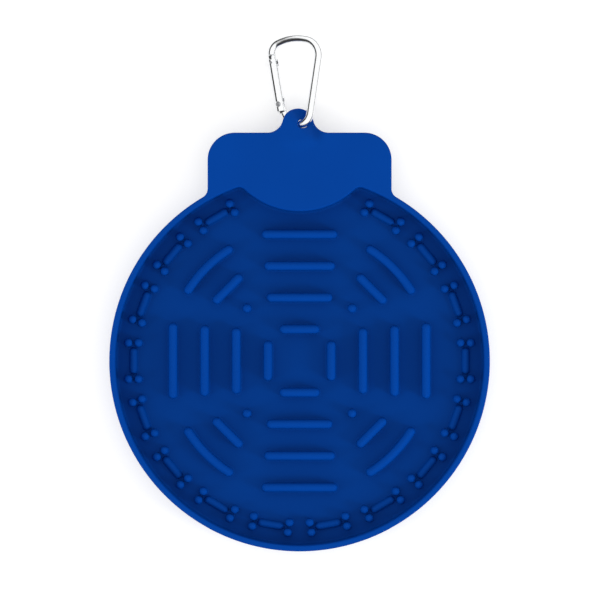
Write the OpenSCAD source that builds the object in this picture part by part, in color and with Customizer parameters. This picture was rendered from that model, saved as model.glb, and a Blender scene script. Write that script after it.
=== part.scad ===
// Round silicone lick mat with a raised rim, a hang tab and a spring-gate clip.
// The origin is the centre of the round tray, on the surface that the mat rests on.

/* [Tray] */
// Outer diameter of the round tray
disc_d = 180; // [150:1:220]
// Width of the flat land on top of the rim
rim_w = 2.7; // [2:0.1:4]
// Depth of the recess, from the rim's top to its floor
recess_depth = 8; // [6:0.5:12]
// Thickness of the floor
floor_t = 2; // [1.5:0.1:3]

/* [Tab] */
// Width of the tab
tab_w = 87; // [70:1:100]
// How far the tab stands out past the round tray
tab_l = 18; // [14:1:24]
// Thickness of the tab and the ear
tab_t = 2; // [1.6:0.1:2.4]
// Radius of the tab's upper corners
tab_corner_r = 12.8; // [6:0.2:16]
// Fillet between the tab's sides and the tray
tab_foot_r = 4.5; // [2:0.5:8]
// Radius of the tab's rounded lower edge, inside the tray
lobe_r = 38; // [34:1:44]
// How far that edge reaches in from the tray's outer edge
lobe_reach = 19.1; // [14:0.1:22]
// Radius of the recess's two corners beside the lobe
recess_corner_r = 4; // [2:0.5:6]

/* [Ear] */
// Radius of the hanging ear
ear_r = 7.4; // [7:0.1:9]
// Height of the ear's centre above the tab's upper edge
ear_rise = 4.2; // [3:0.1:6]
// Sideways place of the ear's centre
ear_x = -0.7; // [-3:0.1:3]
// Fillet between the ear and the tab
ear_fillet = 7.5; // [4:0.5:10]
// Radius of the ear's hole
hole_r = 3.4; // [3.3:0.1:3.8]
// Sideways place of the hole from the ear's centre, as the clip drags it
hole_dx = 2.3; // [1.5:0.1:2.5]
// Place of the hole up the ear from its centre
hole_dy = 0.1; // [-0.5:0.1:0.5]
// How far the clip lifts the ear on its lower left
ear_lift = 0.9; // [0.6:0.1:1.4]
// How far the clip presses the ear down on its upper right
ear_drop = 3.9; // [3.8:0.1:4.6]
// Half the width of the slope between lifted and pressed
slope_half = 3.4; // [3:0.1:3.8]
// Direction in which the ear slopes down
slope_dir = 45; // [38:1:50]
// Distance from the ear's centre up to which the slope is full
slope_full = 7; // [6.5:0.1:8]
// Distance from the ear's centre where the tab is flat again
slope_end = 14; // [12:0.5:16]

/* [Ribs] */
// Width of every licking rib
rib_w = 4.2; // [3:0.1:5]
// Height of the ribs above the floor
rib_h = 5; // [4:0.1:6]
// Distance from one straight rib to the next, as a share of the recess's radius
rib_share = 0.1718; // [0.16:0.001:0.18]
// Number of ribs on each of the four sides, outside the middle square
side_ribs = 3; // [1:1:3]
// Overall length of the four ribs of the middle square
square_rib_l = 18.9; // [14:0.1:20]
// Overall length of the innermost side rib
side_rib_l = 31.2; // [26:0.2:34]
// How much longer each next side rib is
side_rib_grow = 2.35; // [1:0.05:2.5]
// Distance of the four corner beads from the recess's wall
dot_in = 52.1; // [50:0.2:54]
// Distance of the four short corner ribs from that wall
short_in = 39.1; // [37:0.2:41]
// Overall length of the short corner ribs
short_rib_l = 18.6; // [14:0.2:22]
// Distance of the four curved corner ribs from that wall
bow_in = 24.8; // [23:0.2:27]
// Distance between the ends of a curved rib
bow_rib_l = 31.2; // [24:0.2:34]

/* [Bones] */
// Number of places for bones around the tray
bone_places = 18; // [12:1:18]
// Distance of the bones from the recess's wall
bone_in = 8.6; // [7.8:0.1:10]
// Diameter of the beads at a bone's ends
bead_d = 4; // [3:0.1:4.2]
// Height of the beads above the floor
bead_h = 4.4; // [3:0.1:6]
// Distance between the beads along the bone
bead_along = 17.2; // [14:0.1:18]
// Distance between the two beads of an end
bead_across = 4.75; // [4.5:0.05:6]
// Width of a bone's shank
bone_shank_w = 3.8; // [3:0.1:4.2]
// Height of the shank above the floor
bone_shank_h = 2.6; // [2:0.1:3.5]
// Overall length of the shank
bone_shank_l = 12.6; // [10:0.1:13]

/* [Suction cups] */
// Diameter of a suction cup
cup_d = 16; // [12:0.5:18]
// Height of a cup under the floor
cup_h = 2.5; // [2:0.1:4]
// Diameter of a cup's neck
cup_neck_d = 8; // [6:0.5:10]
// Width of the flat lip that touches the table
cup_lip = 0.9; // [0.5:0.1:1.5]
// Depth of the hollow in a cup
cup_hollow = 1.5; // [1:0.1:1.8]
// Distance from one ring of cups to the next
cup_pitch = 31; // [26:1:33]

/* [Clip] */
// Diameter of the clip's rod
rod_d = 4; // [3.6:0.1:4]
// Direction of the rod where it passes through the ear
pass_dir = 27; // [22:1:32]
// Radius of the bend under the ear
low_bend_r = 6.3; // [5.5:0.1:7]
// Turn of the bend under the ear
low_angle = 89; // [84:1:94]
// Radius of the bend over the ear
side_bend_r = 7; // [6:0.1:8]
// Turn of the bend over the ear
side_angle = 53.7; // [50:0.1:58]
// Straight length of the spine
spine_l = 26.2; // [22:0.1:30]
// Radius of the bend at the top of the spine
crown_bend_r = 7.9; // [7:0.1:9]
// Turn of that bend
crown_angle = 85.3; // [80:0.1:90]
// Radius of the flat arch at the top
arch_r = 24; // [20:0.5:30]
// Turn of the arch
arch_angle = 37; // [34:0.5:40]
// Radius of the bend down to the nose
nose_bend_r = 5.4; // [5:0.1:6]
// Straight length from the bend under the ear to the hinge
shank_l = 7.7; // [7.2:0.1:9]
// Tilt of the clip: its spine lies over the ear and its gate under it
clip_roll = 25; // [24:0.5:27]
// Gap left under the lowest point of the clip
clip_air = 0.15; // [0.1:0.05:0.6]

/* [Gate] */
// Diameter of the gate
gate_d = 4.8; // [4.6:0.1:5.2]
// Diameter of the bore that holds the spring
gate_bore_d = 3.2; // [3.1:0.05:3.3]
// How far that bore reaches past the hinge
gate_bore_l = 13; // [11:0.5:14]
// How far the gate reaches past the hinge at its lower end
gate_tail = 3.4; // [3:0.1:3.5]
// How far the hinge slot reaches past the hinge
hinge_slot_l = 2.6; // [2.5:0.1:3]
// Gap between the nose's shoulder and the gate
nose_gap = 2; // [1:0.1:2.2]
// Thickness of the hinge tang and the nose's tongue
blade_t = 1.7; // [1.4:0.1:1.8]
// Radius of the tang round the hinge
tang_r = 1.65; // [1.5:0.05:1.7]
// Length of the tang below the hinge
tang_l = 4.4; // [4.3:0.1:5]
// Radius of the cam at the tang's end
cam_r = 0.9; // [0.8:0.05:1]
// Place of the cam from the hinge towards the inside of the clip
cam_x = 1; // [0.9:0.05:1.1]
// Place of the cam from the hinge along the gate
cam_y = 0.9; // [0.85:0.05:1]
// Width of the nose's tongue
tongue_w = 3; // [2.6:0.1:3.2]
// Length of the nose's tongue
tongue_l = 5; // [4.8:0.1:5.4]
// Gap between the tongue's end and the bottom of the gate's slot
tongue_gap = 0.4; // [0.3:0.1:0.8]
// Diameter of the latch pin
latch_d = 1.2; // [1:0.1:1.4]
// Distance of the latch pin from the nose's shoulder
latch_in = 3.5; // [3.4:0.1:3.6]
// Diameter of the hinge rivet
rivet_d = 1.6; // [1.2:0.1:1.8]
// Diameter of the rivet's heads
rivet_head_d = 2.4; // [2.2:0.1:2.6]
// Height of the rivet's heads
rivet_head_t = 0.4; // [0.3:0.1:0.6]
// Depth of the flats on the gate under the rivet's heads
spot_depth = 0.4; // [0.35:0.05:0.5]

/* [Spring] */
// Diameter of the spring's wire
wire_d = 0.4; // [0.3:0.05:0.45]
// Outer diameter of the spring
spring_d = 2.8; // [2.6:0.1:2.9]
// Number of turns
spring_turns = 8; // [5:1:9]
// Height of the plunger's head
plunger_head_l = 2.2; // [1.5:0.1:3]
// Diameter of the plunger's stem, inside the spring
plunger_stem_d = 1.5; // [1:0.1:1.6]
// Length of the plunger's stem
plunger_stem_l = 2.5; // [1.5:0.1:4]

/* [Hidden] */
$fn = 64;
// Overrun of every cut past the face it leaves
cut = 1;
// Depth to which ribs, cups, tang and tongue are rooted in the piece that carries them
root = 0.5;
// Sides of the clip's rod, and degrees of a bend to each of its rings
rod_sides = 24;
step_angle = 6;
// Depth by which a fillet is let into the edge that it blends with
bite = 0.02;
// Running clearance of tang, tongue and latch pin, each side
run = 0.15;
// Running clearance of the plunger in its bore
plunger_run = 0.1;
// Running clearance of the hinge rivet in the gate's cheeks
rivet_run = 0.04;
// Clearance of a pin held in its own piece
pin_fit = 0.02;
// Gap between plunger and cam, and between spring and its seats
seat_gap = 0.03;

disc_r = disc_d / 2;
recess_r = disc_r - rim_w;
under_z = cup_h;
floor_z = under_z + floor_t;
top_z = floor_z + recess_depth;
tab_z = top_z - tab_t;
tab_top = disc_r + tab_l;
tab_side = tab_w / 2;
lobe_y = disc_r - lobe_reach + lobe_r;
rib_pitch = recess_r * rib_share;

ear_c = [ear_x, tab_top + ear_rise];
hole_c = ear_c + [hole_dx, hole_dy];

// Centre of the fillet between the tab's side and the tray
tab_foot_c = let (x = tab_side + tab_foot_r) [x, sqrt(pow(disc_r + tab_foot_r - bite, 2) - x * x)];
// Sideways distance from the ear's centre to its fillets' centres
ear_foot_dx = sqrt(pow(ear_r + ear_fillet, 2) - pow(ear_fillet - ear_rise, 2));
// Centre of the recess's right corner, from its distances to the tray's and the lobe's centres
corner_c = let (a = recess_r - recess_corner_r, b = lobe_r + recess_corner_r,
                y = (a * a - b * b + lobe_y * lobe_y) / (2 * lobe_y)) [sqrt(a * a - y * y), y];

function unit(v) = v / norm(v);
function smooth(t) = let (c = min(max(t, 0), 1)) c * c * (3 - 2 * c);

// Height by which the clip bends the ear at a point: lifted on one side of the hole, pressed on
// the other, and fading to nothing where the tab begins
function ear_bend(p) =
    let (along = (p - hole_c) * [cos(slope_dir), sin(slope_dir)],
         fall = smooth((along / slope_half + 1) / 2),
         fade = smooth((slope_end - norm(p - ear_c)) / (slope_end - slope_full)))
    (ear_lift * (1 - fall) - ear_drop * fall) * fade;

// A web that blends two outlines: a polygon with the fillet's circle taken out
module web(points, centre, r) {
    difference() {
        polygon(points);
        translate(centre) circle(r);
    }
}

// Plan of the tab with its ear, down to the middle of the tray
module tab_plan() {
    translate([-tab_side, 0]) square([tab_w, tab_top - tab_corner_r]);
    translate([tab_corner_r - tab_side, 0]) square([tab_w - 2 * tab_corner_r, tab_top]);
    for (side = [-1, 1]) {
        translate([side * (tab_side - tab_corner_r), tab_top - tab_corner_r]) circle(tab_corner_r);
        scale([side, 1])
            web([tab_foot_c, [tab_side, tab_foot_c.y], [0, 0], unit(tab_foot_c) * (disc_r - root)],
                tab_foot_c, tab_foot_r);
    }
    ear_plan();
}

// Plan of the ear and its two fillets
module ear_plan() {
    translate(ear_c) circle(ear_r);
    for (side = [-1, 1]) {
        foot = [ear_x + side * ear_foot_dx, tab_top + ear_fillet];
        web([foot, [foot.x, tab_top], [ear_x, lobe_y - lobe_r], ear_c], foot, ear_fillet);
    }
}

// What is cut off a sharp corner of the recess or the tray to leave an arc of radius r
module corner_web(r) {
    to_rim = unit(corner_c);
    to_lobe = unit([0, lobe_y] - corner_c);
    difference() {
        translate(corner_c)
            polygon([[0, 0], 3 * r * to_rim, 3 * r * unit(to_rim + to_lobe), 3 * r * to_lobe]);
        translate(corner_c) circle(r + bite);
    }
}

// Plan of the recess (grow = 0), or of the tray outside it, wider all round by grow
module tray_plan(grow) {
    difference() {
        circle(recess_r + grow);
        translate([0, lobe_y]) circle(lobe_r - grow);
        for (side = [0, 1]) mirror([side, 0]) corner_web(recess_corner_r + grow);
    }
}

// Half the profile of a rib: straight side and round crown
module rib_half(w, h) {
    r = min(w / 2, h);
    translate([0, floor_z - root]) square([w / 2, h - r + root]);
    intersection() {
        translate([0, floor_z + h - r]) circle(r);
        translate([0, floor_z + h - r]) square(r);
    }
}

// A round bead
module bead(d, h) {
    rotate_extrude() rib_half(d, h);
}

// The whole profile of a rib
module rib_profile(w, h) {
    rib_half(w, h);
    mirror([1, 0]) rib_half(w, h);
}

// The round end of a rib that comes up from -X
module rib_end(w, h) {
    rotate(-90) rotate_extrude(angle = 180) rib_half(w, h);
}

// A straight rib along X, of overall length l
module straight_rib(l, w, h) {
    reach = (l - w) / 2;
    for (side = [0, 1]) rotate(180 * side) translate([reach, 0, 0]) rib_end(w, h);
    translate([-reach, 0, 0]) rotate([90, 0, 90]) linear_extrude(2 * reach) rib_profile(w, h);
}

// A rib bent about the mat's centre, its middle on the X axis
module bow_rib(l, w, h, r) {
    half = asin((l - w) / 2 / r);
    for (side = [-1, 1]) rotate(side * half) translate([r, 0, 0]) bead(w - 2 * bite, h - bite);
    rotate(-half) rotate_extrude(angle = 2 * half) translate([r, 0]) rib_profile(w, h);
}

// The ribs: a middle square, three on each side and three pieces on each diagonal
module ribs() {
    for (quarter = [0 : 3]) rotate(quarter * 90) {
        translate([0, rib_pitch, 0]) straight_rib(square_rib_l, rib_w, rib_h);
        for (i = [1 : side_ribs])
            translate([0, (i + 1) * rib_pitch, 0])
                straight_rib(side_rib_l + (i - 1) * side_rib_grow, rib_w, rib_h);
        rotate(45) {
            translate([recess_r - dot_in, 0, 0]) bead(rib_w, rib_h);
            translate([recess_r - short_in, 0, 0]) rotate(90) straight_rib(short_rib_l, rib_w, rib_h);
            bow_rib(bow_rib_l, rib_w, rib_h, recess_r - bow_in);
        }
    }
}

// One bone on the X axis, lying across it
module bone() {
    translate([recess_r - bone_in, 0, 0]) {
        for (along = [-1, 1], across = [-1, 1])
            translate([across * bead_across / 2, along * bead_along / 2, 0]) bead(bead_d, bead_h);
        rotate(90) straight_rib(bone_shank_l, bone_shank_w, bone_shank_h);
    }
}

// The ring of bones, left out where the lobe lies
module bones() {
    step = 360 / bone_places;
    for (i = [0 : bone_places - 1])
        if (abs(i * step - 90) > step) rotate(i * step) bone();
}

// A suction cup, its lip on the table
module suction_cup() {
    cup_r = cup_d / 2;
    hollow_r = cup_r - cup_lip;
    ball_r = (hollow_r * hollow_r + cup_hollow * cup_hollow) / (2 * cup_hollow);
    rotate_extrude() difference() {
        polygon([[0, 0], [cup_r, 0], [cup_neck_d / 2, cup_h + root], [0, cup_h + root]]);
        translate([0, cup_hollow - ball_r]) circle(ball_r);
    }
}

// One cup in the middle, six round it and twelve outside
module suction_cups() {
    suction_cup();
    for (ring = [1, 2], i = [0 : 6 * ring - 1])
        rotate(i * 60 / ring) translate([ring * cup_pitch, 0, 0]) suction_cup();
}

// The slab of the ear: a flat sheet bent by the clip, on a square grid
module ear_slab() {
    cells = 20;
    size = 2 * slope_end / cells;
    side = cells + 1;
    plan = [for (j = [0 : cells], i = [0 : cells])
            ear_c + [i * size - slope_end, j * size - slope_end]];
    top = [for (p = plan) [p.x, p.y, top_z + ear_bend(p)]];
    low = [for (p = plan) [p.x, p.y, tab_z + ear_bend(p)]];
    n = side * side;
    squares = [for (j = [0 : cells - 1], i = [0 : cells - 1]) j * side + i];
    edge = concat([for (i = [0 : cells - 1]) i], [for (j = [0 : cells - 1]) j * side + cells],
                  [for (i = [0 : cells - 1]) n - 1 - i],
                  [for (j = [0 : cells - 1]) (cells - j) * side]);
    polyhedron(concat(top, low), concat(
        [for (q = squares) [q + side, q + side + 1, q]],
        [for (q = squares) [q + side + 1, q + 1, q]],
        [for (q = squares) [n + q, n + q + side + 1, n + q + side]],
        [for (q = squares) [n + q, n + q + 1, n + q + side + 1]],
        [for (k = [0 : len(edge) - 1])
            let (a = edge[k], b = edge[(k + 1) % len(edge)]) [a, b, n + b]],
        [for (k = [0 : len(edge) - 1])
            let (a = edge[k], b = edge[(k + 1) % len(edge)]) [a, n + b, n + a]]));
}

// Tab and ear: a flat sheet at the rim's height, with the bent ear let into it
module tab_sheet() {
    difference() {
        translate([0, 0, tab_z]) linear_extrude(tab_t) tab_plan();
        translate([ear_c.x - slope_end, ear_c.y - slope_end, 0])
            cube([2 * slope_end, 2 * slope_end, top_z + cut]);
    }
    intersection() {
        ear_slab();
        linear_extrude(2 * top_z) tab_plan();
    }
}

// The next station of a bent rod: [x, y, heading] after a straight [length, 0] or a bend [radius, turn]
function station(p, seg) = seg[1] == 0
    ? [p.x + seg[0] * cos(p[2]), p.y + seg[0] * sin(p[2]), p[2]]
    : let (s = sign(seg[1]), q = p[2] + seg[1])
      [p.x + s * seg[0] * (sin(q) - sin(p[2])), p.y - s * seg[0] * (cos(q) - cos(p[2])), q];
function stations(start, segs) =
    [for (i = 0, p = start; i <= len(segs); p = i < len(segs) ? station(p, segs[i]) : p, i = i + 1) p];

// The same in short steps: a bend is cut into pieces of step_angle degrees
function fine_stations(start, segs) =
    let (ends = stations(start, segs))
    concat([start], [for (i = [0 : len(segs) - 1])
        let (n = max(1, ceil(abs(segs[i][1]) / step_angle)))
        each [for (j = [1 : n]) station(ends[i], segs[i][1] == 0 ? segs[i]
                                                : [segs[i][0], segs[i][1] * j / n])]]);

// The clip lies in a plane of its own, whose origin is the middle of the ear's hole
low_path = stations([0, 0, pass_dir + 180], [[low_bend_r, -low_angle], [shank_l - tang_l, 0], [tang_l, 0]]);
hinge = [low_path[3].x, low_path[3].y];
shank_dir = low_path[3][2];
high_segs = [[side_bend_r, side_angle], [spine_l, 0], [crown_bend_r, crown_angle], [arch_r, arch_angle]];
bend_start = stations([0, 0, pass_dir], high_segs)[4];
// The bend to the nose turns until the rod's end points straight at the hinge
bend_c = [bend_start.x - nose_bend_r * sin(bend_start[2]),
          bend_start.y + nose_bend_r * cos(bend_start[2])];
to_hinge = hinge - bend_c;
nose_dir = atan2(to_hinge.y, to_hinge.x) + asin(nose_bend_r / norm(to_hinge)) + 360;
nose_seg = [nose_bend_r, nose_dir - bend_start[2]];
nose = station(bend_start, nose_seg);
nose_l = norm([nose.x, nose.y] - hinge);
gate_l = nose_l - nose_gap;
latch_l = nose_l - latch_in;
slot_w = blade_t + 2 * run;
spot_z = gate_d / 2 - spot_depth;
cam_top = cam_y + cam_r;
plunger_z = cam_top + seat_gap;
spring_z = plunger_z + plunger_head_l + seat_gap;
spring_l = gate_bore_l - seat_gap - spring_z;

// The clip is laid back until its gate or its nose just clears the table
clip_z = tab_z + tab_t / 2 + (ear_lift - ear_drop) / 2;
gate_end = hinge + gate_l * [-cos(nose_dir), -sin(nose_dir)];
gate_low = clip_z + gate_end.x * sin(clip_roll) - gate_d / 2 - clip_air;
nose_low = clip_z + (bend_c.x - nose_bend_r) * sin(clip_roll) - rod_d / 2 - clip_air;
clip_droop = min(asin(gate_low / gate_end.y), asin(nose_low / bend_c.y));

// Puts the clip's plane where it lies in the ear
module clip_place() {
    translate([hole_c.x, hole_c.y, clip_z]) rotate([-clip_droop, 0, 0]) rotate([0, -clip_roll, 0])
        children();
}

// Turns to the gate's own frame: origin at the hinge, +Y along the gate, +X into the clip
module gate_place() {
    clip_place() translate(hinge) rotate(nose_dir + 90) children();
}

// Both triangles of every cell between rings of `sides` points, `rings` rings long, and two end caps
function tube_faces(rings, sides) = concat(
    [for (i = [0 : rings - 2], k = [0 : sides - 1])
        let (a = i * sides + k, b = i * sides + (k + 1) % sides) [a, a + sides, b + sides]],
    [for (i = [0 : rings - 2], k = [0 : sides - 1])
        let (a = i * sides + k, b = i * sides + (k + 1) % sides) [a, b + sides, b]],
    [[for (k = [0 : sides - 1]) k]],
    [[for (k = [0 : sides - 1]) rings * sides - 1 - k]]);

// The bent rod in one piece, from the tang to the nose
module rod() {
    start = [low_path[2].x, low_path[2].y, shank_dir - 180];
    path = fine_stations(start, concat([[shank_l - tang_l, 0], [low_bend_r, low_angle]], high_segs,
                                       [nose_seg]));
    points = [for (p = path, k = [0 : rod_sides - 1])
        let (a = 360 * k / rod_sides, out = rod_d / 2 * cos(a))
        [p.x - out * sin(p[2]), p.y + out * cos(p[2]), rod_d / 2 * sin(a)]];
    polyhedron(points, tube_faces(len(path), rod_sides));
}

// The flat tang that the gate turns on, with the cam that presses the plunger
module tang() {
    linear_extrude(blade_t, center = true) difference() {
        union() {
            circle(tang_r);
            translate([cam_x, cam_y]) circle(cam_r);
            rotate(shank_dir - nose_dir - 90)
                translate([-tang_l - root, -tang_r]) square([tang_l + root, 2 * tang_r]);
        }
        circle(d = rivet_d + 2 * pin_fit);
    }
}

// The flat tongue under the nose, notched from the inside for the latch pin
module tongue() {
    notch = latch_d + 2 * run;
    linear_extrude(blade_t, center = true) difference() {
        translate([-tongue_w / 2, nose_l - tongue_l]) square([tongue_w, tongue_l + root]);
        translate([0, latch_l]) {
            circle(d = notch);
            translate([0, -notch / 2]) square([tongue_w, notch]);
        }
    }
}

module carabiner_frame() {
    color("#d7d8da") {
        clip_place() rod();
        gate_place() {
            tang();
            tongue();
        }
    }
}

module carabiner_gate() {
    color("#c9cbce") gate_place() difference() {
        translate([0, -gate_tail, 0]) rotate([-90, 0, 0]) cylinder(h = gate_l + gate_tail, d = gate_d);
        translate([0, -gate_tail - cut, 0]) rotate([-90, 0, 0])
            cylinder(h = gate_bore_l + gate_tail + cut, d = gate_bore_d);
        translate([-gate_d, -gate_tail - cut, -slot_w / 2])
            cube([2 * gate_d, hinge_slot_l + gate_tail + cut, slot_w]);
        translate([-gate_d, nose_l - tongue_l - tongue_gap, -slot_w / 2])
            cube([2 * gate_d, tongue_l, slot_w]);
        cylinder(h = 2 * gate_d, d = rivet_d + 2 * rivet_run, center = true);
        for (side = [0, 1]) mirror([0, 0, side])
            translate([0, 0, spot_z]) cylinder(h = gate_d, d = rivet_head_d + 2 * run);
        translate([0, latch_l, 0]) cylinder(h = 2 * gate_d, d = latch_d + 2 * pin_fit, center = true);
    }
}

module hinge_rivet() {
    color("#b9bbbf") gate_place() {
        cylinder(h = 2 * (spot_z + seat_gap + root / 2), d = rivet_d, center = true);
        for (side = [0, 1]) mirror([0, 0, side]) translate([0, 0, spot_z + seat_gap])
            cylinder(h = rivet_head_t, d1 = rivet_head_d, d2 = rivet_d);
    }
}

module latch_pin() {
    color("#b9bbbf") gate_place() translate([0, latch_l, 0])
        cylinder(h = sqrt(gate_d * gate_d - latch_d * latch_d), d = latch_d, center = true);
}

// A ring of the wire's section, turned to face along the coil
function wire_ring(deg, rise) =
    let (r = (spring_d - wire_d) / 2, lean = atan2(spring_l - wire_d, spring_turns * 360 * r * PI / 180))
    [for (k = [0 : 5])
        let (a = -k * 60, out = r + wire_d / 2 * cos(a), up = wire_d / 2 * sin(a))
        [out * cos(deg) + up * sin(lean) * sin(deg), out * sin(deg) - up * sin(lean) * cos(deg),
         rise + up * cos(lean)]];

// The coil as one unbroken tube of eight rings a turn
module gate_spring() {
    rings = 8 * spring_turns;
    reach = spring_l - wire_d;
    points = [for (i = [0 : rings])
              each wire_ring(i * 45, spring_z + wire_d / 2 + reach * i / rings)];
    color("#a9abb0") gate_place() rotate([-90, 0, 0]) polyhedron(points, tube_faces(rings + 1, 6));
    echo(spring_self_gap = reach / spring_turns - wire_d);
}

module spring_plunger() {
    color("#9fa2a7") gate_place() rotate([-90, 0, 0]) {
        translate([0, 0, plunger_z]) cylinder(h = plunger_head_l, d = gate_bore_d - 2 * plunger_run);
        translate([0, 0, plunger_z + plunger_head_l - root])
            cylinder(h = plunger_stem_l + root, d = plunger_stem_d);
    }
}

module silicone_mat() {
    color("#0a439f") {
        difference() {
            union() {
                translate([0, 0, under_z]) linear_extrude(floor_t + recess_depth) tray_plan(rim_w);
                tab_sheet();
            }
            translate([0, 0, floor_z]) linear_extrude(recess_depth + cut) tray_plan(0);
            translate(hole_c) cylinder(h = 2 * top_z, r = hole_r);
        }
        ribs();
        bones();
        suction_cups();
    }
}

silicone_mat();
carabiner_frame();
carabiner_gate();
hinge_rivet();
latch_pin();
gate_spring();
spring_plunger();
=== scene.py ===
import bmesh
import bpy
import numpy as np
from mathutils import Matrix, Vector, geometry


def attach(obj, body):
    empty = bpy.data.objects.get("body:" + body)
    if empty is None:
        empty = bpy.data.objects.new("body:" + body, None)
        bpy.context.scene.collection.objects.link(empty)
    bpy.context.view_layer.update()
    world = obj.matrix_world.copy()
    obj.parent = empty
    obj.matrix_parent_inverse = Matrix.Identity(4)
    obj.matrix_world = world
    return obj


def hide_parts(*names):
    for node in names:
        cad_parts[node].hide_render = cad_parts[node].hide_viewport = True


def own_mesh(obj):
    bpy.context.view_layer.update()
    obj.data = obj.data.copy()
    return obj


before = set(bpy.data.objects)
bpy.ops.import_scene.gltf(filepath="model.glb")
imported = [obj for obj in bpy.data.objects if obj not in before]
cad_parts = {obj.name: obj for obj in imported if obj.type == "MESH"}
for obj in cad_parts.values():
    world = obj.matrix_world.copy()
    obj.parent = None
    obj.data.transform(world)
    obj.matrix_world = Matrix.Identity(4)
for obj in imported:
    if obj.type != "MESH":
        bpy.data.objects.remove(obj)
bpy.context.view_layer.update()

mm = 0.001


def linearColour(code):
    # sRGB hex to linear light: under 0.04045 divide by 12.92, over it ((c + 0.055) / 1.055) to the power 2.4
    c = np.array([int(code[i:i + 2], 16) / 255 for i in (1, 3, 5)])
    lin = np.where(c <= 0.04045, c / 12.92, ((c + 0.055) / 1.055) ** 2.4)
    return (*lin.tolist(), 1.0)


def newMaterial(name):
    material = bpy.data.materials.new(name)
    material.use_nodes = True
    return material, material.node_tree, material.node_tree.nodes["Principled BSDF"]


def wire(tree, node, inputs):
    # gives each input its value, or links it where the value is another node's output
    for key, value in inputs.items():
        if isinstance(value, bpy.types.NodeSocket):
            tree.links.new(value, node.inputs[key])
        else:
            node.inputs[key].default_value = value


def addNode(tree, kind, inputs=None, **settings):
    node = tree.nodes.new(kind)
    for key, value in settings.items():
        setattr(node, key, value)
    wire(tree, node, inputs or {})
    return node


def meshPiece(name, points, faces, material, body):
    mesh = bpy.data.meshes.new(name)
    mesh.from_pydata((np.asarray(points) * mm).tolist(), [], faces)
    mesh.validate()
    mesh.polygons.foreach_set("use_smooth", np.ones(len(mesh.polygons), dtype=bool))
    mesh.materials.append(material)
    piece = bpy.data.objects.new(name, mesh)
    bpy.context.scene.collection.objects.link(piece)
    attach(piece, body)
    return piece


def smoothStep(t):
    # 3t^2 - 2t^3 between 0 and 1
    t = np.clip(t, 0, 1)
    return t * t * (3 - 2 * t)


def heading(degrees):
    a = np.radians(degrees)
    return np.array([np.cos(a), np.sin(a)])


def turned(points, degrees):
    # the points turned about the mat's centre
    c, s = heading(degrees)
    return np.asarray(points) @ np.array([[c, s], [-s, c]])


# Silicone rubber, compression moulded: an even, deep pigment with a satin skin. The recess's floor and the
# feet of its ribs
# and bones are painted darker: painted shade for the shade that falls in the recess, while the tab, the rim
# and the ribs' crowns keep the full colour. Over both lie a soft mottling some 40 mm across and a grain of 0.4
# mm.
rubber = {"deep": "#00419c", "light": "#0047a8", "paintedShade": "#003a8c", "mottle": 25.0, "grain": 2500.0,
          "rough": (0.50, 0.60), "ior": 1.41, "specular": 0.06}
silicone, tree, shader = newMaterial("siliconeMoulded")
rubberAt = addNode(tree, "ShaderNodeTexCoord").outputs["Object"]
mottle = addNode(tree, "ShaderNodeTexNoise", {"Vector": rubberAt, "Scale": rubber["mottle"], "Detail": 3.0})
tint = addNode(tree, "ShaderNodeMix", {"Factor": mottle.outputs["Fac"], "A": linearColour(rubber["deep"]),
                                       "B": linearColour(rubber["light"])}, data_type="RGBA")
# the mesh's mask of painted shade in the recess; where it is 1 the colour is mixed to the darker blue
paintedShade = addNode(tree, "ShaderNodeAttribute", attribute_name="paintedShade")
shade = addNode(tree, "ShaderNodeMix", {"Factor": paintedShade.outputs["Fac"], "A": tint.outputs["Result"],
                                        "B": linearColour(rubber["paintedShade"])}, data_type="RGBA")
grain = addNode(tree, "ShaderNodeTexNoise", {"Vector": rubberAt, "Scale": rubber["grain"], "Detail": 2.0})
bump = addNode(tree, "ShaderNodeBump", {"Height": grain.outputs["Fac"], "Strength": 0.25, "Distance": 0.00005})
satin = addNode(tree, "ShaderNodeMapRange", {"Value": mottle.outputs["Fac"], "To Min": rubber["rough"][0],
                                            "To Max": rubber["rough"][1]})
wire(tree, shader, {"Base Color": shade.outputs["Result"], "Roughness": satin.outputs["Result"],
                    "Normal": bump.outputs["Normal"], "IOR": rubber["ior"],
                    "Specular IOR Level": rubber["specular"]})
print("silicone material made")

# The mat's sizes in millimetres: tray and tab, ear with its hole and its slope, roundings
mat = {"discR": 90.0, "rimW": 2.7, "underZ": 2.5, "floorZ": 4.5, "topZ": 12.5, "cornerR": 4.0, "tabHalf": 43.5,
       "tabTop": 108.0, "tabT": 2.0, "tabCorner": 12.8, "tabFoot": 4.5, "lobeR": 38.0, "lobeY": 108.9,
       "earAt": (-0.7, 112.2), "earR": 7.4, "earFillet": 7.5, "pivot": (1.6, 112.3), "holeAt": (1.45, 112.28),
       "holeR": 2.02, "holeHalf": 0.42, "holeDir": 5.0, "lift": 0.9, "drop": 3.9, "slopeHalf": 3.4,
       "slopeDir": 45.0, "slopeFull": 7.0, "slopeEnd": 14.0, "edge": 0.75, "holeEdge": 0.95, "foot": 1.3,
       "draft": 0.22, "belly": 2.4, "bellyIn": 0.2}

lobe, ear, pivot = np.array([0.0, mat["lobeY"]]), np.array(mat["earAt"]), np.array(mat["pivot"])
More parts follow.
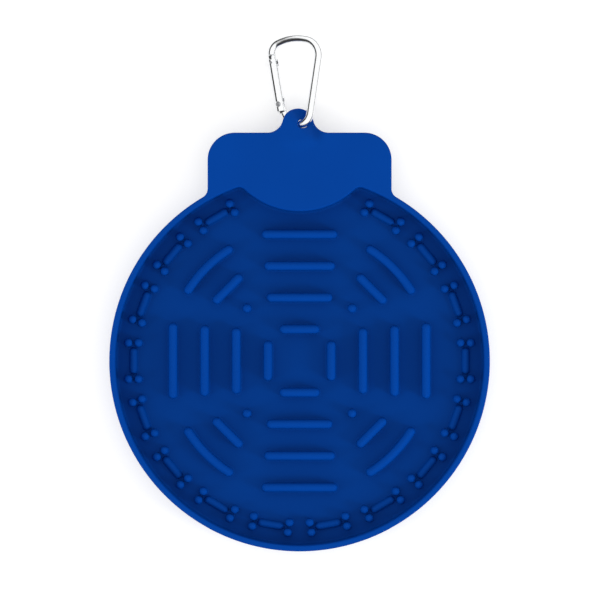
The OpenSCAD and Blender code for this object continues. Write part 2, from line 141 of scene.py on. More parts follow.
# the silicone closes round the rod, which leans: the hole's edge is everywhere holeR from this short line
holeLine = np.array(mat["holeAt"]) + mat["holeHalf"] * np.array([[-1], [1]]) * heading(mat["holeDir"])
recessR = mat["discR"] - mat["rimW"]
toRim, toLobe = recessR - mat["cornerR"], mat["lobeR"] + mat["cornerR"]
cornerY = (toRim ** 2 - toLobe ** 2 + lobe[1] ** 2) / (2 * lobe[1])
corner = np.array([np.sqrt(toRim ** 2 - cornerY ** 2), cornerY])
tabCorner = np.array([mat["tabHalf"], mat["tabTop"]]) - mat["tabCorner"]
footX = mat["tabHalf"] + mat["tabFoot"]
tabFoot = np.array([footX, np.sqrt((mat["discR"] + mat["tabFoot"]) ** 2 - footX ** 2)])
earFootDx = np.sqrt((mat["earR"] + mat["earFillet"]) ** 2 - (mat["tabTop"] + mat["earFillet"] - ear[1]) ** 2)
earFeet = [ear + (side * earFootDx, mat["tabTop"] + mat["earFillet"] - ear[1]) for side in (1, -1)]


def angleTo(a, b):
    return np.degrees(np.arctan2(b[1] - a[1], b[0] - a[0]))


def inSector(p, centre, first, second):
    # points that lie, seen from the centre, between two directions less than half a turn apart
    d = p - centre
    turn = np.sign(first[0] * second[1] - first[1] * second[0])
    return (((first[0] * d[:, 1] - first[1] * d[:, 0]) * turn > 0)
            & ((d[:, 0] * second[1] - d[:, 1] * second[0]) * turn > 0))


def recessDepth(p):
    # distance inside the recess's outline, negative outside it
    q = np.c_[np.abs(p[:, 0]), p[:, 1]]
    d = np.minimum(recessR - np.hypot(*q.T), np.hypot(*(q - lobe).T) - mat["lobeR"])
    return np.where(inSector(q, corner, corner, lobe - corner), mat["cornerR"] - np.hypot(*(q - corner).T), d)


def outlineDepth(p):
    # distance inside the outline of tray, tab and ear, negative outside it
    q = np.c_[np.abs(p[:, 0]), p[:, 1]]
    away = q - tabCorner
    tab = mat["tabCorner"] - np.hypot(*np.maximum(away, 0).T) - np.minimum(away.max(axis=1), 0)
    d = np.maximum(mat["discR"] - np.hypot(*q.T), tab)
    d = np.where(inSector(q, tabFoot, (-1, 0), -tabFoot), np.hypot(*(q - tabFoot).T) - mat["tabFoot"], d)
    d = np.maximum(d, mat["earR"] - np.hypot(*(p - ear).T))
    for foot in earFeet:
        away = np.hypot(*(p - foot).T)
        near = inSector(p, foot, (0, -1), ear - foot) & (away < mat["earR"] + mat["earFillet"])
        d = np.where(near, away - mat["earFillet"], d)
    return d


def earBend(p):
    # the clip lifts the ear by lift on one side of the hole and presses it down by drop on the other
    fall = smoothStep(((p - pivot) @ heading(mat["slopeDir"]) / mat["slopeHalf"] + 1) / 2)
    fade = smoothStep((mat["slopeEnd"] - np.hypot(*(p - ear).T)) / (mat["slopeEnd"] - mat["slopeFull"]))
    return (mat["lift"] * (1 - fall) - mat["drop"] * fall) * fade


# How fine the mat's net is. Degrees: where its rings stand on each rounding, and the steps round the hole and
# a rib's end. Millimetres: the grid over the ear and how far it stays off the outline and the hole, the last
# loop beside each rounding, the room searched round a rib, and the distance under which two points are one.
net = {"crown": (0, 14, 28, 42, 55, 67, 78, 86), "ribFoot": (3, 20, 42, 65, 90),
       "rim": (0, 15, 30, 45, 60, 75, 87), "wallFoot": (3, 14, 28, 43, 58, 74, 90),
       "belly": (3, 15, 30, 45, 60, 75, 90), "edge": (25, 45, 67, 90), "holeEdge": (15, 30, 45, 60, 75, 90),
       "holeStep": 7.5, "endStep": 18, "bowPoints": 17, "grid": 0.7, "gridFromEdge": 1.2, "gridFromHole": 1.4,
       "beside": 0.25, "besideFillet": 0.3, "besideBelly": 0.6, "sideStart": 0.03, "ribRoom": 1,
       "onePoint": 1e-4, "holeSkin": 0.9995}


def ribProfile(w, h, foot, draft):
    # height over the floor against distance from the rib's middle line: round crown, steep side, foot fillet
    r = min(w / 2 - draft, h)
    a, b = np.radians(net["crown"]), np.radians(net["ribFoot"])
    return (np.r_[r * np.sin(a), w / 2 + foot * (1 - np.cos(b))],
            np.r_[h - r + r * np.cos(a), foot * (1 - np.sin(b))])


def wallProfile():
    # height over the floor against depth into the recess: rounded edge, steep wall, fillet at the floor
    deep, edge = mat["topZ"] - mat["floorZ"], mat["edge"]
    a, b = np.radians(net["rim"]), np.radians(net["wallFoot"])
    return (np.r_[edge * np.sin(a) - edge, mat["draft"] + mat["foot"] * (1 - np.cos(b))],
            np.r_[deep - edge + edge * np.cos(a), mat["foot"] * (1 - np.sin(b))])


def bellyProfile():
    # height of the tray's outside against distance in from it: side, big rounding, flat underside
    b = np.radians(net["belly"])
    return (np.r_[0, mat["bellyIn"] + mat["belly"] * (1 - np.cos(b))],
            np.r_[mat["topZ"] - mat["tabT"] + mat["edge"], mat["underZ"] + mat["belly"] * (1 - np.sin(b))])


def lineDistance(p, line):
    # distance to the nearest stretch of a line, or to its one point
    if len(line) == 1:
        return np.hypot(*(p - line[0]).T)
    best = np.full(len(p), np.inf)
    for a, b in zip(line[:-1], line[1:]):
        t = np.clip((p - a) @ (b - a) / ((b - a) @ (b - a)), 0, 1)
        best = np.minimum(best, np.hypot(*(p - a - t[:, None] * (b - a)).T))
    return best


def edgeDrop(d, r):
    # how far an edge rounded to radius r lies under its face at distance d inside it: r - sqrt(r^2 - (r-d)^2)
    return r - np.sqrt(np.maximum(r * r - np.clip(r - d, 0, r) ** 2, 0))


def rimDrop(p):
    return np.maximum(edgeDrop(outlineDepth(p), mat["edge"]),
                      edgeDrop(lineDistance(p, holeLine) - mat["holeR"], mat["holeEdge"]))


def straightLine(length, width, out, turn):
    # the middle line of a straight rib that lies across the direction turn, at a distance from the centre
    reach = (length - width) / 2
    return turned([[out, -reach], [out, reach]], turn)


# The ribs and the bones, in millimetres from the mat's centre
rib = {"w": 4.2, "h": 5.0, "pitch": 15.0, "square": 18.9, "sides": (31.2, 33.55, 35.9), "dot": 35.2,
       "shortOut": 48.2, "shortL": 18.6, "bowR": 62.5, "bowL": 31.2, "foot": 0.8, "draft": 0.14}
bone = {"places": 18, "out": 78.7, "d": 4.0, "h": 4.4, "along": 17.2, "across": 4.75,
        "shankW": 3.8, "shankH": 2.6, "shankL": 12.6, "foot": 0.6, "draft": 0.1, "melt": 0.5}
ribShape = ribProfile(rib["w"], rib["h"], rib["foot"], rib["draft"])
beadShape = ribProfile(bone["d"], bone["h"], bone["foot"], bone["draft"])
shankShape = ribProfile(bone["shankW"], bone["shankH"], bone["foot"], bone["draft"])
bowHalf = np.degrees(np.arcsin((rib["bowL"] - rib["w"]) / 2 / rib["bowR"]))
forms = []
for quarter in (90, 180, 270, 360):
    forms.append((straightLine(rib["square"], rib["w"], rib["pitch"], quarter), ribShape))
    forms += [(straightLine(length, rib["w"], (i + 2) * rib["pitch"], quarter), ribShape)
              for i, length in enumerate(rib["sides"])]
    forms.append((turned([[rib["dot"], 0.0]], quarter + 45), ribShape))
    forms.append((straightLine(rib["shortL"], rib["w"], rib["shortOut"], quarter + 45), ribShape))
    bowTurns = np.linspace(quarter + 45 - bowHalf, quarter + 45 + bowHalf, net["bowPoints"])
    forms.append((np.array([heading(a) for a in bowTurns]) * rib["bowR"], ribShape))
boneStep = 360 / bone["places"]
for turn in [k * boneStep for k in range(bone["places"]) if abs(k * boneStep - 90) > boneStep]:
    beads = [(bone["out"] + across * bone["across"] / 2, along * bone["along"] / 2)
             for along in (-1, 1) for across in (-1, 1)]
    forms += [(turned([bead], turn), beadShape) for bead in beads]
    forms.append((straightLine(bone["shankL"], bone["shankW"], bone["out"], turn), shankShape))


def topHeight(p):
    # the wall's height, or the highest rib there, with a smooth join where two forms run into each other
    x, z = wallProfile()
    height = np.interp(recessDepth(p), x, z)
    for line, (s, h) in forms:
        reach = s[-1] + np.hypot(*(line[0] - line[-1])) / 2 + net["ribRoom"]
        near = np.flatnonzero(np.hypot(*(p - line.mean(axis=0)).T) < reach)
        own, other = np.interp(lineDistance(p[near], line), s, h), height[near]
        both = np.clip(np.minimum(own, other) / bone["melt"], 0, 1)
        blend = np.maximum(bone["melt"] - np.abs(own - other), 0) ** 2 / (4 * bone["melt"])
        height[near] = np.maximum(own, other) + blend * both
    return mat["floorZ"] + height - rimDrop(p) + earBend(p)


def underHeight(p):
    # the lower of the sheet's underside and the tray's outside
    x, z = bellyProfile()
    w = recessDepth(p) + mat["rimW"]
    tray = np.where(w > 0, np.interp(w, x, z), np.inf)
    return np.minimum(mat["topZ"] - mat["tabT"] + rimDrop(p), tray) + earBend(p)


def arcLoop(arcs, depth):
    # an outline of arcs joined by straight lines, moved inwards by depth: a bulging arc shrinks by it, a
    # hollow one grows by it. An arc is (centre, radius, first angle, last angle, steps, bulging).
    loop = []
    for centre, r, first, last, steps, bulging in arcs:
        a = np.radians(np.linspace(first, last, steps + 1))
        size = r - depth if bulging else r + depth
        loop.append(np.array(centre) + size * np.c_[np.cos(a), np.sin(a)])
    loop = np.concatenate(loop)
    keep = np.hypot(*(loop - np.roll(loop, 1, axis=0)).T) > net["onePoint"]
    return loop[keep]


def capsule(line, s):
    # points at distance s all round a line: half circles at its ends, and its own points moved sideways
    if len(line) == 1:
        a = np.radians(np.arange(0, 360, net["endStep"]))
        return line[0] + s * np.c_[np.cos(a), np.sin(a)]
    run = np.gradient(line, axis=0)
    side = np.c_[run[:, 1], -run[:, 0]] / np.hypot(*run.T)[:, None]
    first, last = (np.degrees(np.arctan2(y, x)) for x, y in (side[0], side[-1]))
    steps = np.arange(net["endStep"], 180, net["endStep"])
    a, b = np.radians(last + steps), np.radians(first + 180 + steps)
    return np.r_[line + s * side, line[-1] + s * np.c_[np.cos(a), np.sin(a)],
                 (line - s * side)[::-1], line[0] + s * np.c_[np.cos(b), np.sin(b)]]


def mirrorArcs(arcs):
    # the same arcs on the other side of the middle, in the order that keeps the loop running one way
    return [((-centre[0], centre[1]), r, 180 - last, 180 - first, steps, bulging)
            for centre, r, first, last, steps, bulging in arcs[::-1]]


footTurn, cornerTurn = angleTo((0, 0), tabFoot), angleTo((0, 0), corner)
tabArcs = [(tabFoot, mat["tabFoot"], footTurn + 180, 180, 12, False),
           (tabCorner, mat["tabCorner"], 0, 90, 24, True)]
earTurn = angleTo(ear, earFeet[0])
earArcs = [(earFeet[0], mat["earFillet"], 270, earTurn + 180, 24, False),
           (ear, mat["earR"], earTurn, 180 - earTurn, 48, True),
           (earFeet[1], mat["earFillet"], 360 - earTurn, 270, 24, False)]
outline = [((0, 0), mat["discR"], 180 - footTurn, 360 + footTurn, 300, True), *tabArcs, *earArcs,
           *mirrorArcs(tabArcs)]
lobeTurn = angleTo(corner, lobe)
cornerArc = (corner, mat["cornerR"], cornerTurn, lobeTurn, 10, True)
recess = [((0, 0), recessR, 180 - cornerTurn, 360 + cornerTurn, 320, True), cornerArc,
          (lobe, mat["lobeR"], lobeTurn + 180, 360 - lobeTurn, 80, False), *mirrorArcs([cornerArc])]
holeTurns = np.arange(net["holeStep"] / 2, 360, net["holeStep"])


def holeLoop(grow):
    # points at distance holeR + grow round the hole's short line, each measured from the end that it faces
    a = np.radians(holeTurns + mat["holeDir"])
    end = (np.cos(np.radians(holeTurns)) > 0).astype(int)
    return holeLine[end] + (mat["holeR"] + grow) * np.c_[np.cos(a), np.sin(a)]


def surface(loops, heightOf):
    # loops[0] is the outline and loops[1] the hole. Lays a triangle net through all the loops and through a
    # grid over the bent ear, drops what lies outside, and lifts every point to its height.
    steps = np.arange(-mat["slopeEnd"], mat["slopeEnd"] + net["grid"] / 2, net["grid"])
    grid = ear + np.stack(np.meshgrid(steps, steps), axis=-1).reshape(-1, 2)
    grid = grid[(outlineDepth(grid) > net["gridFromEdge"])
                & (lineDistance(grid, holeLine) > mat["holeR"] + net["gridFromHole"])]
    flat = np.concatenate([*loops, grid])
    edges, start = [], 0
    for loop in loops:
        n = len(loop)
        if n == 2:
            edges.append((start, start + 1))
        elif n > 2:
            edges += [(start + k, start + (k + 1) % n) for k in range(n)]
        start += n
    corners = [Vector(p) for p in flat.tolist()]
    points, _, faces, origin, _, _ = geometry.delaunay_2d_cdt(corners, edges, [], 0, 1e-6)
    points, faces = np.array([tuple(p) for p in points]), np.array(faces)
    middle = points[faces].mean(axis=1)
    outsideHole = lineDistance(middle, holeLine) > mat["holeR"] * net["holeSkin"]
    faces = faces[(outlineDepth(middle) > 0) & outsideHole]
    newIndex = {old: k for k, olds in enumerate(origin) for old in olds}
    outer, inner = len(loops[0]), len(loops[1])
    rings = [np.array([newIndex[k] for k in range(outer)]),
             np.array([newIndex[k] for k in range(outer, outer + inner)])]
    return np.c_[points, heightOf(points)], faces, rings


edgeSteps = mat["edge"] * (1 - np.cos(np.radians(net["edge"])))
holeSteps = mat["holeEdge"] * (1 - np.cos(np.radians(net["holeEdge"])))
wallX, bellyX = wallProfile()[0], bellyProfile()[0]
# both sheets: the outline, the hole, and the rings of their rounded edges
edgeLoops = [arcLoop(outline, 0), holeLoop(0)]
edgeLoops += [arcLoop(outline, d) for d in [*edgeSteps, mat["edge"] + net["beside"]]]
edgeLoops += [holeLoop(d) for d in [*holeSteps, mat["holeEdge"] + net["besideFillet"]]]
topLoops = edgeLoops + [arcLoop(recess, d)
                        for d in [wallX[0] - net["beside"], *wallX, wallX[-1] + net["besideFillet"]]]
for line, (s, h) in forms:
    topLoops += [line] + [capsule(line, d) for d in [*s[1:], s[-1] + net["beside"]]]
underLoops = edgeLoops + [arcLoop(recess, d - mat["rimW"])
                          for d in [net["sideStart"], *bellyX[1:], mat["belly"] + net["besideBelly"]]]
topPoints, topFaces, topRings = surface(topLoops, topHeight)
underPoints, underFaces, underRings = surface(underLoops, underHeight)


def upward(points, faces, way):
    # turns each triangle so that it faces up (way 1) or down (way -1)
    a, b, c = (points[faces[:, k]][:, :2] for k in range(3))
    area = (b - a)[:, 0] * (c - a)[:, 1] - (b - a)[:, 1] * (c - a)[:, 0]
    return np.where((area * way > 0)[:, None], faces, faces[:, ::-1])


matPoints = np.concatenate([topPoints, underPoints])
matFaces = [*upward(topPoints, topFaces, 1).tolist(),
            *(upward(underPoints, underFaces, -1) + len(topPoints)).tolist()]
# a band of quads joins the two sheets at the outline, and one facing the other way at the hole
for upper, lower, way in zip(topRings, underRings, (1, -1)):
    lower = lower + len(topPoints)
    band = np.stack([upper, lower, np.roll(lower, -1), np.roll(upper, -1)], axis=1)
    matFaces += band[:, ::way].tolist()
matPiece = meshPiece("licking_mat", matPoints, matFaces, silicone, "mat")
# painted shade, by the height over the floor: 1 on the recess's floor, 0 at the crowns and everywhere outside
# the recess
paintedShadeShare = smoothStep((rib["h"] - (matPoints[:, 2] - mat["floorZ"])) / (rib["h"] - rib["foot"]))
paintedShadeShare *= smoothStep(recessDepth(matPoints[:, :2]) / mat["draft"])
paintedShadeShare[len(topPoints):] = 0
paintedShadeMark = matPiece.data.attributes.new("paintedShade", "FLOAT", "POINT")
paintedShadeMark.data.foreach_set("value", paintedShadeShare.astype(np.float32))
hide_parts("silicone_mat")
print("mat:", len(matPoints), "points,", len(matFaces), "faces")

# Nineteen suction cups: a hollow dish, a rounded rim and a neck that runs into the tray's underside. The rim's
# points are measured from the cup's radius and the table, the neck's from its radius and the tray's underside.
cup = {"r": 8.0, "h": 2.5, "neckR": 4.0, "lip": 0.9, "hollow": 1.5, "root": 0.5, "pitch": 31.0, "sides": 48,
       "dishRings": 8, "rim": [(-0.35, 0.0), (-0.1, 0.06), (0.0, 0.22), (-0.15, 0.4), (-0.5, 0.6)],
       "neck": [(0.9, -0.55), (0.25, -0.2)]}


def tubeQuads(rows, columns, start=0):
    # quads between rings of columns points, whose first point is number start
    k = np.arange(columns)
    nextK, starts = (k + 1) % columns, start + columns * np.arange(rows - 1)
    return [face for i in starts
            for face in np.stack([i + k, i + nextK, i + columns + nextK, i + columns + k], axis=1).tolist()]


def tubeFaces(rows, columns, start=0):
    # a closed tube: its quads and a cap on each end
    k = start + np.arange(columns)
    return tubeQuads(rows, columns, start) + [k[::-1].tolist(), (k + (rows - 1) * columns).tolist()]


hollowR = cup["r"] - cup["lip"]
ballR = (hollowR ** 2 + cup["hollow"] ** 2) / (2 * cup["hollow"])
dishR = np.linspace(0, 1, cup["dishRings"] + 1) * hollowR
dishZ = cup["hollow"] - ballR + np.sqrt(ballR ** 2 - dishR ** 2)
rootZ = cup["h"] + cup["root"]
profile = np.r_[np.c_[dishR, dishZ], (cup["r"], 0) + np.array(cup["rim"]),
                (cup["neckR"], cup["h"]) + np.array(cup["neck"]), [(cup["neckR"], rootZ)]][1:]
turns = 2 * np.pi * np.arange(cup["sides"]) / cup["sides"]
cupRings = np.stack([profile[:, :1] * np.cos(turns), profile[:, :1] * np.sin(turns),
                     np.repeat(profile[:, 1:], cup["sides"], axis=1)], axis=-1).reshape(-1, 3)
cupShell = np.r_[cupRings, [[0, 0, dishZ[0]], [0, 0, rootZ]]]
k, lastRing = np.arange(cup["sides"]), len(cupRings) - cup["sides"]
nextK, tip = (k + 1) % cup["sides"], np.full(cup["sides"], len(cupRings))
cupFaces = [*tubeQuads(len(profile), cup["sides"]), *np.c_[nextK, k, tip].tolist(),
            *np.c_[lastRing + k, lastRing + nextK, tip + 1].tolist()]
cupCentres = [(0.0, 0.0)] + [tuple(ring * cup["pitch"] * heading(i * 60 / ring))
                             for ring in (1, 2) for i in range(6 * ring)]
cupPoints = np.concatenate([cupShell + (x, y, 0) for x, y in cupCentres])
allCupFaces = [[v + i * len(cupShell) for v in f] for i in range(len(cupCentres)) for f in cupFaces]
cups = meshPiece("suction_cups", cupPoints, allCupFaces, silicone, "mat")
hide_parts("silicone_mat")
print("suction cups:", len(cupCentres))

# Aluminium rod, bent, then tumbled and bright dipped: a mirror under a haze of fine scratches, 0.15 mm apart
# and drawn twice as coarse so that they show, with slow waves left by the bending
aluminium = {"colour": "#f4f5f6", "scratches": 3200.0, "contrast": (0.35, 0.75), "rough": (0.08, 0.22),
             "waves": 160.0}
polished, tree, shader = newMaterial("aluminiumPolished")
metalAt = addNode(tree, "ShaderNodeTexCoord").outputs["Object"]
scratches = addNode(tree, "ShaderNodeTexNoise", {"Vector": metalAt, "Scale": aluminium["scratches"],
                                                 "Detail": 3.0, "Roughness": 0.7})
waves = addNode(tree, "ShaderNodeTexNoise", {"Vector": metalAt, "Scale": aluminium["waves"], "Detail": 2.0})
haze = addNode(tree, "ShaderNodeMapRange",
               {"Value": scratches.outputs["Fac"], "From Min": aluminium["contrast"][0],
                "From Max": aluminium["contrast"][1], "To Min": aluminium["rough"][0],
                "To Max": aluminium["rough"][1]})
fine = addNode(tree, "ShaderNodeBump", {"Height": scratches.outputs["Fac"], "Strength": 0.15,
                                       "Distance": 0.00001})
wavy = addNode(tree, "ShaderNodeBump", {"Height": waves.outputs["Fac"], "Strength": 0.3, "Distance": 0.0001,
                                       "Normal": fine.outputs["Normal"]})
wire(tree, shader, {"Base Color": linearColour(aluminium["colour"]), "Metallic": 1.0,
                    "Roughness": haze.outputs["Result"], "Normal": wavy.outputs["Normal"]})

# Steel, cold headed and nickel plated: rivet, latch pin, plunger and spring, a little greyer and duller
nickel = {"colour": "#b4b5b8", "marks": 2500.0, "rough": (0.18, 0.4)}
steel, tree, shader = newMaterial("steelNickelPlated")
steelAt = addNode(tree, "ShaderNodeTexCoord").outputs["Object"]
marks = addNode(tree, "ShaderNodeTexNoise", {"Vector": steelAt, "Scale": nickel["marks"], "Detail": 3.0})
dull = addNode(tree, "ShaderNodeMapRange", {"Value": marks.outputs["Fac"], "To Min": nickel["rough"][0],
                                           "To Max": nickel["rough"][1]})
dents = addNode(tree, "ShaderNodeBump", {"Height": marks.outputs["Fac"], "Strength": 0.2, "Distance": 0.00002})
wire(tree, shader, {"Base Color": linearColour(nickel["colour"]), "Metallic": 1.0,
                    "Roughness": dull.outputs["Result"], "Normal": dents.outputs["Normal"]})
print("metals made")

# The clip lies in a plane of its own, whose origin is where the rod passes the ear's middle plane. Its spine
# lies over the ear and its gate under it (roll), and its far end comes down to the table (droop).
clip = {"rodR": 2.0, "passDir": 27.0, "lowR": 6.3, "lowTurn": 89.0, "sideR": 7.0, "sideTurn": 53.7,
        "spine": 26.2, "crownR": 7.9, "crownTurn": 85.3, "archR": 24.0, "archTurn": 37.0, "noseR": 5.4,
        "shank": 7.7, "tang": 4.4, "roll": 25.0, "droop": 1.32268, "z": 10.0, "sides": 48, "bevel": 0.35}


def walk(start, segments, step=3.0):
    # stations [x, y, heading] along straights [length, 0] and bends [radius, turn], at most step degrees apart
    stations = [np.array(start, dtype=float)]
    for size, turn in segments:
        x, y, h = stations[-1]
        n = max(1, int(np.ceil(abs(turn) / step)))
        if turn == 0:
            stations.append(np.array([x + size * heading(h)[0], y + size * heading(h)[1], h]))
            continue
        h2 = h + turn * np.arange(1, n + 1) / n
        s = np.sign(turn)
        xs = x + s * size * (np.sin(np.radians(h2)) - np.sin(np.radians(h)))
        ys = y - s * size * (np.cos(np.radians(h2)) - np.cos(np.radians(h)))
        stations += list(np.c_[xs, ys, h2])
    return np.array(stations)


lowEnd = walk((0, 0, clip["passDir"] + 180), [(clip["lowR"], -clip["lowTurn"]), (clip["shank"], 0)])[-1]
hinge, shankDir = lowEnd[:2], lowEnd[2]
tangStart = hinge - clip["tang"] * heading(shankDir)
highSegments = [(clip["sideR"], clip["sideTurn"]), (clip["spine"], 0), (clip["crownR"], clip["crownTurn"]),
                (clip["archR"], clip["archTurn"])]
bendStart = walk((0, 0, clip["passDir"]), highSegments)[-1]
bendCentre = bendStart[:2] + clip["noseR"] * heading(bendStart[2] + 90)
# the last bend turns until the rod's end points straight at the hinge
noseTurn = np.degrees(np.arcsin(clip["noseR"] / np.hypot(*(hinge - bendCentre))))
noseDir = angleTo(bendCentre, hinge) + noseTurn + 360
rodPath = walk((*tangStart, shankDir - 180),
               [(clip["shank"] - clip["tang"], 0), (clip["lowR"], clip["lowTurn"]), *highSegments,
                (clip["noseR"], noseDir - bendStart[2])])
nose = rodPath[-1, :2]
noseL = np.hypot(*(nose - hinge))
(droopCos, droopSin), (rollCos, rollSin) = heading(clip["droop"]), heading(clip["roll"])
tilt = (np.array([[1, 0, 0], [0, droopCos, droopSin], [0, -droopSin, droopCos]])
        @ np.array([[rollCos, 0, -rollSin], [0, 1, 0], [rollSin, 0, rollCos]]))


def clipPlace(points):
    return points @ tilt.T + (pivot[0], pivot[1], clip["z"])


def gatePlace(points):
    # from the gate's own frame: origin at the hinge, +Y along the gate
    c, s = heading(noseDir + 90)
    turn = np.array([[c, -s, 0], [s, c, 0], [0, 0, 1]])
    return clipPlace(points @ turn.T + (hinge[0], hinge[1], 0))


def shoulder(station, inward, angles):
    # rings that round off an end of the rod: at angle t a ring stands bevel * (1 - sin t) in from the end and
    # is bevel * (1 - cos t) smaller
    return [np.r_[station[:2] + inward * heading(station[2]) * clip["bevel"] * (1 - np.sin(t)), station[2],
                  clip["rodR"] - clip["bevel"] * (1 - np.cos(t))] for t in np.radians(angles)]


# The rod: a circle carried along the stations, its two ends rounded off
middleRings = np.c_[rodPath[1:-1], np.full(len(rodPath) - 2, clip["rodR"])]
rings = np.array([*shoulder(rodPath[0], 1, [90, 60, 30, 0]), *middleRings,
                  *shoulder(rodPath[-1], -1, [0, 30, 60, 90])])
ringX, ringY, ringDir, ringR = (rings[:, k:k + 1] for k in range(4))
a = 2 * np.pi * np.arange(clip["sides"]) / clip["sides"]
out, up, h = ringR * np.cos(a), ringR * np.sin(a), np.radians(ringDir)
rodPoints = np.stack([ringX - out * np.sin(h), ringY + out * np.cos(h), up], axis=-1).reshape(-1, 3)

# The blades that stand in the gate's slots: tang and cam at the hinge, tongue and latch at the nose
gate = {"bladeT": 1.7, "tangR": 1.65, "camR": 0.9, "camAt": (1.0, 0.9), "tongueW": 3.0, "tongueL": 5.0,
        "tongueRoot": 0.4, "chamfer": 0.3, "latchD": 1.2, "latchIn": 3.5, "run": 0.15, "edge": 0.12}


def plate(outlinePoints, thickness, edge):
    # a flat blade: its outline, drawn in by edge at both faces
    ahead, behind = np.roll(outlinePoints, -1, axis=0), np.roll(outlinePoints, 1, axis=0)
    run = (ahead - behind) / np.hypot(*(ahead - behind).T)[:, None]
    small = outlinePoints + edge * np.c_[-run[:, 1], run[:, 0]]
    levels = [(small, -thickness / 2), (outlinePoints, edge - thickness / 2),
              (outlinePoints, thickness / 2 - edge), (small, thickness / 2)]
    return np.concatenate([np.c_[p, np.full(len(p), z)] for p, z in levels])


# The tang's outline as a radius for each direction: the eye, the cam and the neck, whichever reaches furthest
aim = np.radians(np.arange(0, 360, 3))
ray = np.c_[np.cos(aim), np.sin(aim)]
cam = np.array(gate["camAt"])
along = ray @ cam
inside = gate["camR"] ** 2 - (cam @ cam - along ** 2)
camReach = np.where((inside > 0) & (along > 0), along + np.sqrt(np.maximum(inside, 0)), 0)
neck = turned(ray, 180 - (shankDir - noseDir - 90))
neckReach = np.minimum(clip["tang"] / np.maximum(neck[:, 0], 1e-6),
                       gate["tangR"] / np.maximum(np.abs(neck[:, 1]), 1e-6))
tangR = np.maximum.reduce([np.full(len(aim), gate["tangR"]), camReach, np.where(neck[:, 0] > 0, neckReach, 0)])
tang = plate(ray * tangR[:, None], gate["bladeT"], gate["edge"])

# The tongue: a bar with chamfered corners and a round bite for the latch pin
latchL, notch = noseL - gate["latchIn"], gate["latchD"] / 2 + gate["run"]
half, low, high = gate["tongueW"] / 2, noseL - gate["tongueL"], noseL + gate["tongueRoot"]
bite = np.radians(np.arange(90, 271, 20))
tongue = plate(np.array([[-half, low + gate["chamfer"]], [-half + gate["chamfer"], low],
                         [half - gate["chamfer"], low], [half, low + gate["chamfer"]], [half, latchL - notch],
                         *[[notch * np.cos(t), latchL - notch * np.sin(t)] for t in bite],
                         [half, latchL + notch], [half, high], [-half, high]]), gate["bladeT"], gate["edge"])
clipPoints = np.concatenate([clipPlace(rodPoints), gatePlace(tang), gatePlace(tongue)])
clipFaces = [*tubeFaces(len(rings), clip["sides"]), *tubeFaces(4, len(aim), len(rodPoints)),
             *tubeFaces(4, len(tongue) // 4, len(rodPoints) + len(tang))]
rod = meshPiece("clip_body", clipPoints, clipFaces, polished, "clip")
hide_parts("carabiner_frame")
print("clip body made")

# Gate, latch pin and rivet keep the CAD solids' shape. Angles in degrees: edges flatter than flat are merged
# away, those under smooth are shaded round, and those over sharp get a bevel.
edgeRules = {"flat": 0.5, "smooth": 32, "sharp": 40, "segments": 2}


def bevelled(node, name, material, width):
    # a copy of a CAD node with its loose triangles merged and its edges rounded
    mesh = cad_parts[node].data.copy()
    shell = bmesh.new()
    shell.from_mesh(mesh)
    bmesh.ops.remove_doubles(shell, verts=shell.verts, dist=1e-6)
    bmesh.ops.dissolve_limit(shell, angle_limit=np.radians(edgeRules["flat"]), verts=shell.verts,
                             edges=shell.edges)
    for face in shell.faces:
        face.smooth = True
    for edge in shell.edges:
        edge.smooth = bool(edge.calc_face_angle(np.pi) < np.radians(edgeRules["smooth"]))
    shell.to_mesh(mesh)
    shell.free()
    mesh.materials.clear()
    mesh.materials.append(material)
    piece = bpy.data.objects.new(name, mesh)
    bpy.context.scene.collection.objects.link(piece)
    bevel = piece.modifiers.new("edges", "BEVEL")
    bevel.width, bevel.segments = width * mm, edgeRules["segments"]
    bevel.limit_method, bevel.angle_limit = "ANGLE", np.radians(edgeRules["sharp"])
    bevel.harden_normals = True
    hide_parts(node)
    return piece


for node, name, material, width, body in [("carabiner_gate", "gate", polished, 0.1, "gate"),
                                          ("latch_pin", "gate_latch_pin", steel, 0.06, "gate"),
                                          ("hinge_rivet", "gate_rivet", steel, 0.08, "clip")]:
    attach(bevelled(node, name, material, width), body)
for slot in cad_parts["spring_plunger"].material_slots:
    slot.material = steel
print("gate, rivet and pin made")

# The gate's spring: round wire on a helix. The real spring shortens by the plunger's travel while the gate
# opens; that travel is listed, but the coil here is drawn at one length.
spring = {"d": 2.8, "wire": 0.4, "turns": 8, "start": 4.06, "length": 8.91, "travel": 0.471, "steps": 24,
          "wireSides": 10}
wireR = spring["wire"] / 2
coilTurn = np.radians(np.arange(spring["turns"] * spring["steps"] + 1) * 360 / spring["steps"])[:, None]
section = -np.radians(np.arange(0, 360, 360 / spring["wireSides"]))
coilR = (spring["d"] - spring["wire"]) / 2 + wireR * np.cos(section)
rise = (spring["length"] - spring["wire"]) * coilTurn / coilTurn[-1] + wireR * (1 + np.sin(section))
coil = np.stack([coilR * np.cos(coilTurn), spring["start"] + rise, -coilR * np.sin(coilTurn)],
                axis=-1).reshape(-1, 3)
coilFaces = tubeFaces(len(coilTurn), len(section))
springPiece = meshPiece("gate_coil_spring", gatePlace(coil), coilFaces, steel, "gate")
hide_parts("gate_spring")
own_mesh(springPiece)
print("spring made")

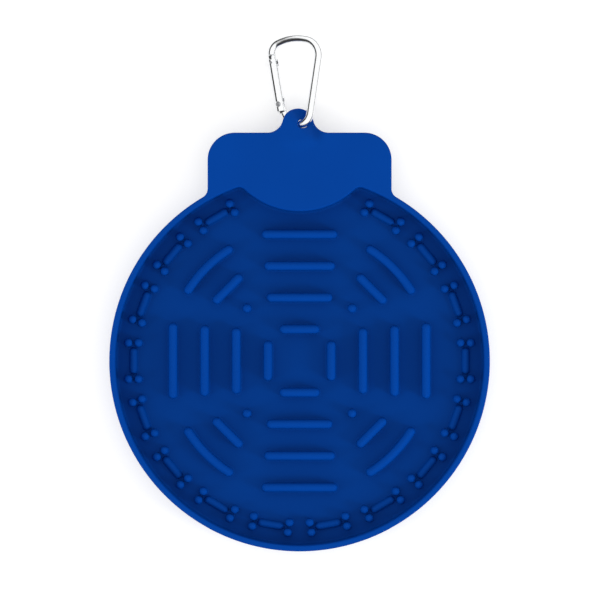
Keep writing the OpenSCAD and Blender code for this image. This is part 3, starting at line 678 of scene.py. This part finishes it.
# A white table in an even white room. Two soft boxes stand low in front, left and right, and put a light
# edge on the ribs and the wall while the floor between them lies in shade. Each is (direction, watts).
studio = {"left": (200, 1.3), "right": (335, 2.4), "elevation": 20, "away": 0.8, "size": 0.22, "dome": 0.74,
          "table": "#dcdcdc", "tableHalf": 3, "tableGlow": 0.5, "lens": 250, "sensor": 36,
          "cameraAt": (0.0002, 0.02885, 1.982)}
tableWhite, tree, shader = newMaterial("tableWhite")
rayKind = addNode(tree, "ShaderNodeLightPath")
seen = addNode(tree, "ShaderNodeMath", {0: rayKind.outputs["Is Camera Ray"],
                                        1: rayKind.outputs["Is Glossy Ray"]}, operation="MAXIMUM")
seenToo = addNode(tree, "ShaderNodeMath", {0: seen.outputs[0],
                                           1: rayKind.outputs["Is Transmission Ray"]}, operation="MAXIMUM")
glow = addNode(tree, "ShaderNodeMath", {0: seenToo.outputs[0], 1: studio["tableGlow"]}, operation="MULTIPLY")
wire(tree, shader, {"Emission Strength": glow.outputs[0], "Emission Color": (1, 1, 1, 1),
                    "Base Color": linearColour(studio["table"]), "Roughness": 0.9, "Specular IOR Level": 0.0})
floor = bpy.data.objects.new("table", bpy.data.meshes.new("table"))
reach = studio["tableHalf"]
floor.data.from_pydata([(-reach, -reach, 0), (reach, -reach, 0), (reach, reach, 0), (-reach, reach, 0)], [],
                       [(0, 1, 2, 3)])
floor.data.materials.append(tableWhite)
bpy.context.scene.collection.objects.link(floor)

# The room: an even dome for light, and for reflections a white ceiling over dark walls, whose edge stands
# higher on the left and in front, where the camera's stand and its user are. A direction looks at the wall
# where its height is under the first value of edge, and at the ceiling where it is over the second.
room = {"risesTo": (-0.60, -0.42), "edge": (0.16, 0.26), "wall": 0.04, "ceiling": 1.1}
world = bpy.data.worlds.new("studio")
world.use_nodes = True
bpy.context.scene.world = world
tree = world.node_tree
dome = tree.nodes["Background"]
wire(tree, dome, {"Color": (1, 1, 1, 1), "Strength": studio["dome"]})
lookWay = addNode(tree, "ShaderNodeSeparateXYZ", {0: addNode(tree, "ShaderNodeTexCoord").outputs["Generated"]})
leftRise = addNode(tree, "ShaderNodeMath", {0: lookWay.outputs["X"], 1: room["risesTo"][0], 2: 0.0},
                   operation="MULTIPLY_ADD")
frontRise = addNode(tree, "ShaderNodeMath", {0: lookWay.outputs["Y"], 1: room["risesTo"][1],
                                             2: leftRise.outputs[0]}, operation="MULTIPLY_ADD")
wallTop = addNode(tree, "ShaderNodeMath", {0: frontRise.outputs[0], 1: 0.0}, operation="MAXIMUM")
overWall = addNode(tree, "ShaderNodeMath", {0: lookWay.outputs["Z"], 1: wallTop.outputs[0]},
                   operation="SUBTRACT")
brightness = addNode(tree, "ShaderNodeMapRange", {"Value": overWall.outputs[0], "From Min": room["edge"][0],
                                                 "From Max": room["edge"][1], "To Min": room["wall"],
                                                 "To Max": room["ceiling"]})
mirror = addNode(tree, "ShaderNodeBackground", {"Color": (1, 1, 1, 1),
                                               "Strength": brightness.outputs["Result"]})
worldRay = addNode(tree, "ShaderNodeLightPath")
mix = addNode(tree, "ShaderNodeMixShader", {0: worldRay.outputs["Is Glossy Ray"], 1: dome.outputs[0],
                                           2: mirror.outputs[0]})
wire(tree, tree.nodes["World Output"], {"Surface": mix.outputs[0]})


def softBox(name, direction, watts):
    # a square lamp that looks at the mat from its direction round the table and its height over it
    light = bpy.data.lights.new(name, "AREA")
    light.shape, light.size, light.energy = "SQUARE", studio["size"], watts
    lamp = bpy.data.objects.new(name, light)
    level, rise = heading(studio["elevation"]) * studio["away"]
    lamp.location = (*(heading(direction) * level), rise)
    lamp.rotation_euler = (-lamp.location).to_track_quat("-Z", "Y").to_euler()
    lamp.visible_glossy = False
    lamp.visible_camera = False
    bpy.context.scene.collection.objects.link(lamp)


softBox("softBoxLeft", *studio["left"])
softBox("softBoxRight", *studio["right"])
lens = bpy.data.cameras.new("camera")
lens.lens, lens.sensor_width = studio["lens"], studio["sensor"]
camera = bpy.data.objects.new("camera", lens)
camera.location = studio["cameraAt"]
bpy.context.scene.collection.objects.link(camera)
bpy.context.scene.camera = camera
bpy.context.scene.view_settings.view_transform = "Standard"
